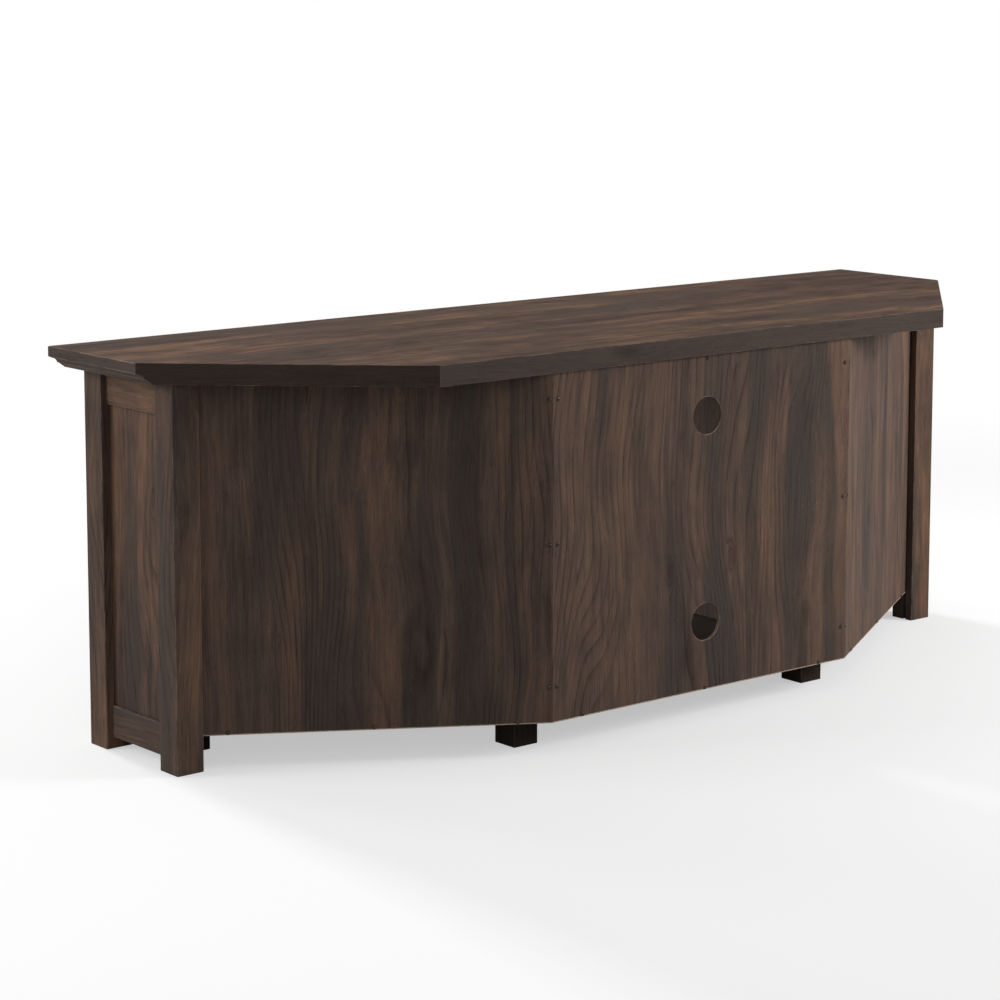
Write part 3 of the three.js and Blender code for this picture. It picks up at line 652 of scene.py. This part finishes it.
def show_raw_board(mesh, low, high):
    """Bares the sawn lower edge of a back panel, where the print is chipped, and the walls of its holes"""
    everything = mesh.verts[:] + mesh.edges[:] + mesh.faces[:]
    line = Vector((0, 0, low.z + sawn_strip))
    bmesh.ops.bisect_plane(mesh, geom=everything, dist=weld_distance, plane_co=line, plane_no=(0, 0, 1))
    mesh.normal_update()
    widest = max(mesh.faces, key=lambda face: face.calc_area())
    facing = widest.normal.copy()
    for face in mesh.faces:
        middle = face.calc_center_median()
        across = abs(face.normal.dot(facing)) < math.sin(sharp_angle)
        margins = (middle.x - low.x, high.x - middle.x, middle.z - low.z, high.z - middle.z)
        inside = min(margins) > back_board_margin
        face.material_index = 1 if middle.z < line.z else 2 if across and inside else 0


def board_finish(node):
    """The main finish of a board: darker walnut as painted shade on the bay's bottom panel and the feet,
    plain on the edge-banded boards
    """
    if node.endswith(PAINTED_SHADE_ENDINGS):
        return painted_shade_finish
    return band_finish if node.endswith(EDGE_ENDINGS) else FINISHES[SLOT_OF[node]]


def finish_board(node):
    """Stands for a board of the model: trimmed for its edge band, rounded, and given its grain"""
    mesh = merged_copy(node)
    if node in BANDED:
        for point, outward in rear_planes():
            trim(mesh, point, outward)
    width = thin_board_round if node in THIN_BOARDS else board_round
    edge_faces = round_edges(mesh, moulding_round if node.endswith(EDGE_ENDINGS) else width)
    ledge_faces = []
    if node in THIN_BOARDS:
        ledge_faces = round_edges(mesh, hole_rim_round, shortest_rim_edge, shortest_board_edge)
        edge_faces = [face for face in edge_faces if face.is_valid]
        show_raw_board(mesh, *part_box(node))
    # The end rails' ledges are lightened as a painted highlight of their top faces, which catch the light.
    if node.endswith(PAINTED_HIGHLIGHT_LEDGE_ENDINGS):
        ledge_faces = [face for face in mesh.faces if face.normal.z > math.cos(flat_angle)]
    if node == "top_slab":
        for face in mesh.faces:
            face.material_index = 1 if abs(face.normal.z) < math.sin(flat_angle) else 0
    set_grain(mesh, node, grain_ways(node), edge_faces, ledge_faces)
    data = to_mesh(mesh, f"finished_{node}")
    data.materials.append(board_finish(node))
    if node == "top_slab":
        data.materials.append(band_finish)
    if node in THIN_BOARDS:
        data.materials.append(raw_finish)
        data.materials.append(hole_finish)
    piece = finished_piece(f"finished_{node}", data, BODY_OF[node])
    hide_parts(node)


WOOD_SLOTS = ("top_wood", "frame_wood", "panel_wood", "back_board", "case_board")
for board in SLOT_OF:
    if SLOT_OF[board] in WOOD_SLOTS:
        finish_board(board)


# Edge bands on the rear edge and on both slanted edges


def slanted_profile():
    """The crown moulding's cut end on the right-hand slanted edge: (distance along the edge, height)"""
    points = set()
    for vertex in frame["nodes"]["right_crown_moulding"].data.vertices:
        way = Vector((vertex.co.x, vertex.co.y, 0)) - slant_start
        if abs(way.dot(slant_outward)) < weld_distance:
            points.add((round(way.dot(slant_way), 5), round(vertex.co.z, 5)))
    inner = max(distance for distance, _ in points)
    shown = [point for point in points if inner - point[0] > weld_distance]
    return sorted(shown, key=lambda point: (point[0], -point[1]))


def band_plate(name, start, way, outward, outline, mitres, length, finish):
    """A thin plate with its outer face on the edge. The outline is (distance along, height), and the
    mitres shorten the inner face at its start and at its end."""
    mesh = bmesh.new()
    outer, inner = [], []
    for distance, height in outline:
        point = start + way * distance + Vector((0, 0, height))
        outer.append(mesh.verts.new(point))
        shift = mitres[0] if distance < weld_distance else 0
        shift = -mitres[1] if distance > length - weld_distance else shift
        inner.append(mesh.verts.new(point + way * shift - outward * band_thickness))
    mesh.faces.new(outer)
    mesh.faces.new(reversed(inner))
    for index in range(len(outer)):
        after = (index + 1) % len(outer)
        mesh.faces.new((outer[index], inner[index], inner[after], outer[after]))
    bmesh.ops.recalc_face_normals(mesh, faces=mesh.faces)
    bevel(mesh, [edge for edge in mesh.edges if all(vertex in outer for vertex in edge.verts)], band_round)
    thin_faces = [face for face in mesh.faces if abs(face.normal.dot(outward)) < math.cos(flat_angle)]
    set_grain(mesh, name, [way, AXES[ALONG_Z], outward], thin_faces)
    data = to_mesh(mesh, name)
    data.materials.append(finish)
    return finished_piece(name, data, "cabinet")


rear_turn = slant_way.angle(-AXES[ALONG_X])
mitre = band_thickness * math.tan(rear_turn / 2)
slant_length = (slant_end - slant_start).length
rear_length = 2 * slant_end.x
rear_outline = [(0, slab_high.z), (0, soffit), (rear_length, soffit), (rear_length, slab_high.z)]
band_plate(
    "rear_edge_band", slant_end, -AXES[ALONG_X], AXES[ALONG_Y], rear_outline,
    (mitre, mitre), rear_length, band_finish,
)
# The slanted bands take the darker band finish, which is painted shade.
for side, sign in SIDES:
    slanted_outline = [(0, slab_high.z), (0, slab_low.z), *slanted_profile()]
    slanted_outline += [(slant_length, soffit), (slant_length, slab_high.z)]
    band_plate(
        f"{side}_slanted_edge_band", mirrored(slant_start, sign), mirrored(slant_way, sign),
        mirrored(slant_outward, sign), slanted_outline, (0, mitre), slant_length, painted_shade_band_finish,
    )


# Screw heads: one tree for all of them, placed on points that say which way they face


def screw_heads():
    """A domed head with a crossed recess on every point, facing the way that the point says"""
    inputs = [("Geometry", "NodeSocketGeometry"), ("Head radius", FLOAT), ("Head height", FLOAT)]
    inputs += [("Recess width", FLOAT), ("Recess length", FLOAT), ("Seed", "NodeSocketInt")]
    inputs += [("Material", "NodeSocketMaterial")]
    outputs = [("Geometry", "NodeSocketGeometry")]
    tree, given, result = new_group("screw_heads", "GeometryNodeTree", inputs, outputs)
    radius, height = given.outputs["Head radius"], given.outputs["Head height"]

    # A cone whose rings are lifted to a low dome
    cone = tree.node("GeometryNodeMeshCone", fill_type="NGON")
    sizes = {"Vertices": head_sides, "Side Segments": head_rings, "Radius Bottom": radius, "Depth": height}
    tree.feed(cone, {**sizes, "Radius Top": tree.maths("MULTIPLY", radius, cone_top_share)})
    where = tree.node("ShaderNodeSeparateXYZ")
    tree.feed(where, {"Vector": tree.node("GeometryNodeInputPosition").outputs[0]})
    reach = tree.maths("POWER", where.outputs[0], 2)
    reach = tree.maths("SQRT", tree.maths("ADD", reach, tree.maths("POWER", where.outputs[1], 2)))
    fall = tree.maths("POWER", tree.maths("DIVIDE", reach, radius), dome_power)
    lifted = tree.maths("MULTIPLY", tree.maths("SUBTRACT", 1.0, fall), height)
    move = tree.node("ShaderNodeCombineXYZ")
    tree.feed(move, {"Z": tree.maths("SUBTRACT", lifted, where.outputs[2])})
    domed = tree.node("GeometryNodeSetPosition")
    tree.feed(domed, {"Geometry": tree.output(cone, "Mesh"), "Offset": move.outputs[0]})

    # The crossed recess
    joined = tree.node("GeometryNodeJoinGeometry")
    length, width = given.outputs["Recess length"], given.outputs["Recess width"]
    for wide, deep in ((length, width), (width, length)):
        size = tree.node("ShaderNodeCombineXYZ")
        tree.feed(size, {"X": wide, "Y": deep, "Z": height})
        arm = tree.node("GeometryNodeMeshCube")
        tree.feed(arm, {"Size": size.outputs[0]})
        lift = tree.node("ShaderNodeCombineXYZ")
        tree.feed(lift, {"Z": tree.maths("MULTIPLY", height, recess_rise_share)})
        placed = tree.node("GeometryNodeTransform")
        tree.feed(placed, {"Geometry": tree.output(arm, "Mesh"), "Translation": lift.outputs[0]})
        tree.tree.links.new(placed.outputs[0], joined.inputs[0])
    recessed = tree.node("GeometryNodeMeshBoolean", operation="DIFFERENCE")
    tree.feed(recessed, {"Mesh 1": domed.outputs[0], "Self Intersection": True})
    tree.tree.links.new(joined.outputs[0], recessed.inputs["Mesh 2"])

    # Each head faces its own way, turned by a random amount
    facing = tree.node("GeometryNodeInputNamedAttribute", data_type="FLOAT_VECTOR")
    tree.feed(facing, {"Name": "facing"})
    aligned = tree.node("FunctionNodeAlignRotationToVector", axis="Z")
    tree.feed(aligned, {"Vector": facing.outputs[0]})
    chance = tree.node("FunctionNodeRandomValue", data_type="FLOAT")
    tree.feed(chance, {"Min_001": 0.0, "Max_001": math.tau, "Seed": given.outputs["Seed"]})
    spin = tree.node("FunctionNodeAxisAngleToRotation")
    tree.feed(spin, {"Axis": (0, 0, 1), "Angle": tree.output(chance, "Value_001")})
    turned = tree.node("FunctionNodeRotateRotation", rotation_space="LOCAL")
    tree.feed(turned, {"Rotation": aligned.outputs[0], "Rotate By": spin.outputs[0]})
    placed = tree.node("GeometryNodeInstanceOnPoints")
    values = {"Points": given.outputs["Geometry"], "Instance": recessed.outputs[0]}
    tree.feed(placed, {**values, "Rotation": turned.outputs[0]})
    real = tree.node("GeometryNodeRealizeInstances")
    tree.feed(real, {"Geometry": placed.outputs[0]})
    painted = tree.node("GeometryNodeSetMaterial")
    tree.feed(painted, {"Geometry": real.outputs[0], "Material": given.outputs["Material"]})
    tree.tree.links.new(painted.outputs[0], result.inputs[0])
    return tree.tree


SCREW_HEADS = screw_heads()


def add_screws(name, places, sizes, body, seed, material=screw_finish):
    """Screw heads at (point, facing) places, as one plain mesh on a body"""
    points = bpy.data.meshes.new(f"{name}_points")
    points.from_pydata([point for point, _ in places], [], [])
    facing = points.attributes.new("facing", "FLOAT_VECTOR", "POINT")
    for index, (_, way) in enumerate(places):
        facing.data[index].vector = way
    holder = bpy.data.objects.new(f"{name}_holder", points)
    bpy.context.scene.collection.objects.link(holder)
    modifier = holder.modifiers.new("heads", "NODES")
    modifier.node_group = SCREW_HEADS
    items = [item for item in SCREW_HEADS.interface.items_tree if item.in_out == "INPUT"]
    sockets = {item.name: item.identifier for item in items}
    for socket_name, value in {**sizes, "Seed": seed, "Material": material}.items():
        modifier[sockets[socket_name]] = value
    graph = bpy.context.evaluated_depsgraph_get()
    data = bpy.data.meshes.new_from_object(holder.evaluated_get(graph), depsgraph=graph)
    data.name = name
    if not data.materials:
        data.materials.append(material)
    bpy.data.objects.remove(holder)
    bpy.data.meshes.remove(points)
    return finished_piece(name, data, body)


# Back screws: beside the folds, along the bottom edge, and one under the middle of the rear edge


def back_screw_places():
    """Every back screw as (point, facing)"""
    behind = AXES[ALONG_Y]
    places = [(Vector((0, back_face, top_screw_height)), behind)]
    for step in (-1, 0, 1):
        places.append((Vector((step * centre_screw_spacing, back_face, bottom_screw_height)), behind))
    for _, sign in SIDES:
        outward = mirrored(panel_outward, sign)
        for height in fold_screw_heights:
            up = Vector((0, 0, height))
            places.append((mirrored(fold - Vector((centre_fold_inset, 0, 0)), sign) + up, behind))
            places.append((mirrored(fold + panel_way * slanted_fold_inset, sign) + up, outward))
        for distance in (slanted_screw_inset, panel_length / 2, panel_length - slanted_screw_inset):
            up = Vector((0, 0, bottom_screw_height))
            places.append((mirrored(fold + panel_way * distance, sign) + up, outward))
    return places


add_screws("back_screws", back_screw_places(), back_screw, "cabinet", seed=7)


# Hinges: smooth copies, with screws in both leaves and a head at each end of the pin


def smooth_copy(node):
    """Stands for a turned piece of the model, with its round faces shaded smooth"""
    mesh = merged_copy(node)
    for face in mesh.faces:
        face.smooth = True
    data = to_mesh(mesh, f"smooth_{node}")
    data.set_sharp_from_angle(angle=sharp_angle)
    data.materials.append(FINISHES[SLOT_OF[node]])
    piece = finished_piece(f"smooth_{node}", data, BODY_OF[node])
    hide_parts(node)


def lathe(profile, sides, place, way):
    """A turned form: profile of (radius, height), its foot at a place and its height along a way"""
    mesh = bmesh.new()
    turn = way.to_track_quat("Z", "Y").to_matrix().to_4x4()
    rings = []
    for radius, height in profile:
        if radius < weld_distance:
            rings.append([mesh.verts.new((0, 0, height))])
            continue
        angles = [math.tau * index / sides for index in range(sides)]
        rings.append([mesh.verts.new((radius * math.cos(a), radius * math.sin(a), height)) for a in angles])
    for low, high in zip(rings, rings[1:]):
        for index in range(sides):
            after = (index + 1) % sides
            foot_corners = [low[index % len(low)], low[after % len(low)]]
            head_corners = [high[after % len(high)], high[index % len(high)]]
            mesh.faces.new(list(dict.fromkeys(foot_corners + head_corners)))
    bmesh.ops.recalc_face_normals(mesh, faces=mesh.faces)
    for face in mesh.faces:
        face.smooth = True
    bmesh.ops.transform(mesh, matrix=Matrix.Translation(place) @ turn, verts=mesh.verts)
    return mesh


def joined_mesh(meshes, name):
    """Several meshes as one"""
    whole = bmesh.new()
    for mesh in meshes:
        whole.from_mesh(to_mesh(mesh, name))
    return to_mesh(whole, name)


def sized_profile(shares, radius, height):
    """A profile in shares of a radius and a height, as lengths"""
    return [(radius * radius_share, height * height_share) for radius_share, height_share in shares]


HINGES = ("upper_hinge", "lower_hinge")
pin_head_profile = sized_profile(pin_head_profile_shares, pin_head_radius, pin_head_height)

pin_heads = []
for side, sign in SIDES:
    leaf_screws = {"cabinet": [], f"{side}_door": []}
    for hinge in HINGES:
        frame_leaf = f"{side}_{hinge}_frame_leaf"
        door_leaf = f"{side}_{hinge}_door_leaf"
        smooth_copy(frame_leaf)
        smooth_copy(door_leaf)
        low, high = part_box(frame_leaf)
        post_face = max(low.x * sign, high.x * sign)
        pin_place = min(low.x * sign, high.x * sign) + barrel_radius
        pin_y = low.y + barrel_radius
        middle = (low.z + high.z) / 2
        leaf_middle = high.y - leaf_depth / 2
        for step in (-1, 0, 1):
            y = leaf_middle + (hinge_screw_stagger if step == 0 else -hinge_screw_stagger)
            z = middle + step * hinge_screw_rise
            frame_point = Vector(((post_face - leaf_thickness) * sign, y, z))
            door_point = Vector(((pin_place + door_leaf_offset) * sign, y, z))
            leaf_screws["cabinet"].append((frame_point, Vector((-sign, 0, 0))))
            leaf_screws[f"{side}_door"].append((door_point, Vector((sign, 0, 0))))
        for end, way in ((low.z, -1), (high.z, 1)):
            point = Vector((pin_place * sign, pin_y, end))
            pin_heads.append(lathe(pin_head_profile, head_sides, point, Vector((0, 0, way))))
    for body, places in leaf_screws.items():
        name = f"{side}_frame_leaf_screws" if body == "cabinet" else f"{side}_door_leaf_screws"
        add_screws(name, places, flush_screw, body, seed=11, material=bronze_finish)

pin_head_mesh = joined_mesh(pin_heads, "hinge_pin_heads")
pin_head_mesh.materials.append(bronze_finish)
finished_piece("hinge_pin_heads", pin_head_mesh, "cabinet")


# Knobs
for side, _ in SIDES:
    knob = f"{side}_door_knob"
    low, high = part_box(knob)
    knob_radius = (high.x - low.x) / 2
    knob_length = high.y - low.y
    profile = sized_profile(knob_profile_shares, knob_radius, knob_length)
    foot = Vector(((low.x + high.x) / 2, high.y, (low.z + high.z) / 2))
    knob_mesh = to_mesh(lathe(profile, knob_sides, foot, Vector((0, -1, 0))), f"turned_{knob}")
    knob_mesh.materials.append(bronze_finish)
    turned_knob = finished_piece(f"turned_{knob}", knob_mesh, f"{side}_door")
    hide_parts(knob)


# Catches: pole plates in the magnet's slot, screws in the case, and one in each strike


def plate(low, high):
    """A small plate between two corners"""
    mesh = bmesh.new()
    bmesh.ops.create_cube(mesh, size=1)
    middle = (low + high) / 2
    scale = Matrix.Diagonal((*(high - low), 1))
    bmesh.ops.transform(mesh, matrix=Matrix.Translation(middle) @ scale, verts=mesh.verts)
    bevel(mesh, mesh.edges[:], magnet_round, steps=1)
    return mesh


for side, sign in SIDES:
    catch, strike = f"{side}_door_catch", f"{side}_door_strike"
    for node in (catch, strike):
        for holder in frame["nodes"][node].material_slots:
            holder.material = FINISHES[SLOT_OF[node]]
    low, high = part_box(catch)
    middle = (low.x + high.x) / 2
    plates = []
    for step in (-1, 1):
        plate_middle = middle + step * (magnet_gap + magnet_thickness) / 2
        near = Vector((plate_middle - magnet_thickness / 2, low.y + magnet_gap, low.z + magnet_inset))
        far = Vector((plate_middle + magnet_thickness / 2, low.y + magnet_depth, high.z - magnet_inset))
        plates.append(plate(near, far))
    magnet_mesh = joined_mesh(plates, f"{side}_catch_magnet")
    magnet_mesh.materials.append(steel_finish)
    finished_piece(f"{side}_catch_magnet", magnet_mesh, "cabinet")
    outer = high.x if sign > 0 else low.x
    catch_places = [
        (Vector((outer, (low.y + high.y) / 2, height)), AXES[ALONG_X] * sign)
        for height in (low.z + catch_screw_inset, high.z - catch_screw_inset)
    ]
    add_screws(f"{side}_catch_screws", catch_places, back_screw, "cabinet", seed=3)
    low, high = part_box(strike)
    strike_place = Vector(((low.x + high.x) / 2, high.y, (low.z + high.z) / 2))
    strike_places = [(strike_place, AXES[ALONG_Y])]
    add_screws(
        f"{side}_strike_screw", strike_places, flush_screw, f"{side}_door",
        seed=5, material=steel_finish,
    )


# Camera
look = Vector((
    -math.sin(camera_turn) * math.cos(camera_tilt),
    -math.cos(camera_turn) * math.cos(camera_tilt),
    math.sin(camera_tilt),
))
camera_data = bpy.data.cameras.new("camera")
camera_data.sensor_width = camera_sensor
camera_data.lens = camera_lens
camera_data.shift_y = camera_shift
camera = bpy.data.objects.new("camera", camera_data)
camera.location = camera_place
camera.rotation_euler = look.to_track_quat("-Z", "Y").to_euler()
bpy.context.scene.collection.objects.link(camera)
bpy.context.scene.camera = camera


# Floor, world and lamps


def seen_directly(tree):
    """1 for rays from the camera, from a mirror-like surface or through glass"""
    rays = tree.node("ShaderNodeLightPath").outputs
    total = tree.maths("ADD", rays["Is Camera Ray"], rays["Is Glossy Ray"])
    return tree.maths("ADD", total, rays["Is Transmission Ray"], clamp=True)


WHITE = (1, 1, 1, 1)


def studio_floor():
    """A pale floor that holds the shadow, lifted a little and faded to white away from the object"""
    material = bpy.data.materials.new("studio_floor")
    material.use_nodes = True
    tree = Tree(material.node_tree)
    link = tree.tree.links.new
    tree.tree.nodes.clear()
    matt_floor = tree.node("ShaderNodeBsdfDiffuse")
    tree.feed(matt_floor, {"Color": (floor_grey, floor_grey, floor_grey, 1)})
    lift = tree.node("ShaderNodeEmission")
    tree.feed(lift, {"Color": WHITE, "Strength": tree.maths("MULTIPLY", seen_directly(tree), floor_glow)})
    near = tree.node("ShaderNodeAddShader")
    link(matt_floor.outputs[0], near.inputs[0])
    link(lift.outputs[0], near.inputs[1])
    white = tree.node("ShaderNodeEmission")
    tree.feed(white, {"Color": WHITE, "Strength": 1.0})
    distance = tree.node("ShaderNodeVectorMath", operation="LENGTH")
    tree.feed(distance, {"Vector": tree.node("ShaderNodeTexCoord").outputs["Object"]})
    share = tree.ranged(distance.outputs["Value"], fade_start, fade_end, smooth=True)
    mix = tree.node("ShaderNodeMixShader")
    link(tree.maths("MULTIPLY", share, seen_directly(tree)), mix.inputs[0])
    link(near.outputs[0], mix.inputs[1])
    link(white.outputs[0], mix.inputs[2])
    link(mix.outputs[0], tree.node("ShaderNodeOutputMaterial").inputs["Surface"])
    return material


floor_mesh = bmesh.new()
bmesh.ops.create_grid(floor_mesh, x_segments=1, y_segments=1, size=floor_reach)
floor_data = to_mesh(floor_mesh, "floor")
floor_data.materials.append(studio_floor())
floor = bpy.data.objects.new("floor", floor_data)
bpy.context.scene.collection.objects.link(floor)

world = bpy.data.worlds.new("studio")
world.use_nodes = True
bpy.context.scene.world = world
world_tree = Tree(world.node_tree)
world_glow = world_tree.blended(seen_directly(world_tree), world_strength, 1.0)
world_tree.feed(world.node_tree.nodes["Background"], {"Color": WHITE, "Strength": world_glow})


def softbox(name, place, aim, size, power):
    """A soft square lamp that faces a point"""
    lamp = bpy.data.lights.new(name, "AREA")
    lamp.shape = "SQUARE"
    lamp.size = size
    lamp.energy = power
    holder = bpy.data.objects.new(name, lamp)
    holder.location = place
    holder.rotation_euler = (Vector(aim) - Vector(place)).to_track_quat("-Z", "Y").to_euler()
    bpy.context.scene.collection.objects.link(holder)


for lamp_name, settings in LAMPS.items():
    softbox(lamp_name, **settings)

bpy.context.scene.view_settings.view_transform = "Standard"
